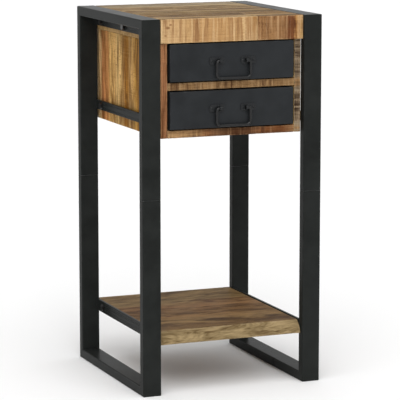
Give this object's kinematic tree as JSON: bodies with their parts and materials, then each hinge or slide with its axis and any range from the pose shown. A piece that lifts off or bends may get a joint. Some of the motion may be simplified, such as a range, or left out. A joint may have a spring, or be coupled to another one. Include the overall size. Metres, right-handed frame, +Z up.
{
  "type": "side table with drawers",
  "caption": "Tall wooden side table in a steel frame, with inset steel-fronted drawers, bail handles and a live-edge shelf near the floor.",
  "frame": {"origin": "on the floor, under the middle of the table's four legs", "axes": "+Z up, +X to the right seen from the front, and the drawers open towards -Y"},
  "size_m": [0.4, 0.4073, 0.78],
  "materials": {
    "frame_steel": "satin charcoal powder coat, a little worn at the edges",
    "drawer_steel": "satin slate-grey lacquer over folded sheet",
    "handle_iron": "satin black, worn on the grip",
    "bolt_steel": "dark, slightly shiny",
    "hidden_steel": "zinc plated",
    "top_wood_pale": "rough-sawn, waxed, pale honey",
    "top_wood_brown": "rough-sawn, waxed, reddish brown",
    "top_wood_tan": "rough-sawn, waxed, tan",
    "cabinet_wood": "planed and waxed, golden with brown streaks",
    "cabinet_wood_dark": "planed and waxed, reddish brown",
    "shelf_wood": "waxed, grey-brown with a pale live edge",
    "box_wood": "planed, unfinished",
    "plywood": "plain birch"
  },
  "bodies": {
    "table": {"left_upper_frame": "frame_steel", "right_upper_frame": "frame_steel", "left_lower_frame": "frame_steel", "right_lower_frame": "frame_steel", "left_front_sleeve": "hidden_steel", "left_back_sleeve": "hidden_steel", "right_front_sleeve": "hidden_steel", "right_back_sleeve": "hidden_steel", "sleeve_screws": "bolt_steel", "left_top_bar": "frame_steel", "right_top_bar": "frame_steel", "left_cabinet_bar": "frame_steel", "right_cabinet_bar": "frame_steel", "left_shelf_bar": "frame_steel", "right_shelf_bar": "frame_steel", "top_bolts": "bolt_steel", "cabinet_bolts": "bolt_steel", "shelf_bolts": "bolt_steel", "edge_washers": "hidden_steel", "cabinet_spacers": "bolt_steel", "top_front_left_board": "top_wood_pale", "top_front_right_board": "top_wood_brown", "top_second_board": "top_wood_tan", "top_third_board": "top_wood_tan", "top_back_board": "top_wood_pale", "cabinet_left_side": "cabinet_wood", "cabinet_right_side": "cabinet_wood", "cabinet_floor": "cabinet_wood_dark", "cabinet_divider": "cabinet_wood", "cabinet_back_panel": "cabinet_wood", "cabinet_dowels": "plywood", "left_cleat": "box_wood", "right_cleat": "box_wood", "upper_left_runner": "box_wood", "upper_right_runner": "box_wood", "lower_left_runner": "box_wood", "lower_right_runner": "box_wood", "cabinet_screws": "hidden_steel", "shelf_board": "shelf_wood"},
    "upper_drawer": {"upper_drawer_skin": "drawer_steel", "upper_drawer_core": "box_wood", "upper_drawer_left_side": "box_wood", "upper_drawer_right_side": "box_wood", "upper_drawer_back": "box_wood", "upper_drawer_bottom": "plywood", "upper_drawer_screws": "hidden_steel", "upper_handle_plates": "handle_iron", "upper_handle_rivets": "handle_iron"},
    "upper_handle": {"upper_bail": "handle_iron"},
    "lower_drawer": {"lower_drawer_skin": "drawer_steel", "lower_drawer_core": "box_wood", "lower_drawer_left_side": "box_wood", "lower_drawer_right_side": "box_wood", "lower_drawer_back": "box_wood", "lower_drawer_bottom": "plywood", "lower_drawer_screws": "hidden_steel", "lower_handle_plates": "handle_iron", "lower_handle_rivets": "handle_iron"},
    "lower_handle": {"lower_bail": "handle_iron"}
  },
  "joints": [
    {"name": "upper_drawer_slide", "type": "slide", "parent": "table", "child": "upper_drawer", "axis": [0, -1, 0], "range_m": [0, 0.24]},
    {"name": "upper_bail_hinge", "type": "hinge", "parent": "upper_drawer", "child": "upper_handle", "pos_m": [0, -0.20258, 0.691], "axis": [-1, 0, 0], "range_deg": [-5, 180]},
    {"name": "lower_drawer_slide", "type": "slide", "parent": "table", "child": "lower_drawer", "axis": [0, -1, 0], "range_m": [0, 0.24]},
    {"name": "lower_bail_hinge", "type": "hinge", "parent": "lower_drawer", "child": "lower_handle", "pos_m": [0, -0.20258, 0.5935], "axis": [-1, 0, 0], "range_deg": [-5, 180]}
  ]
}
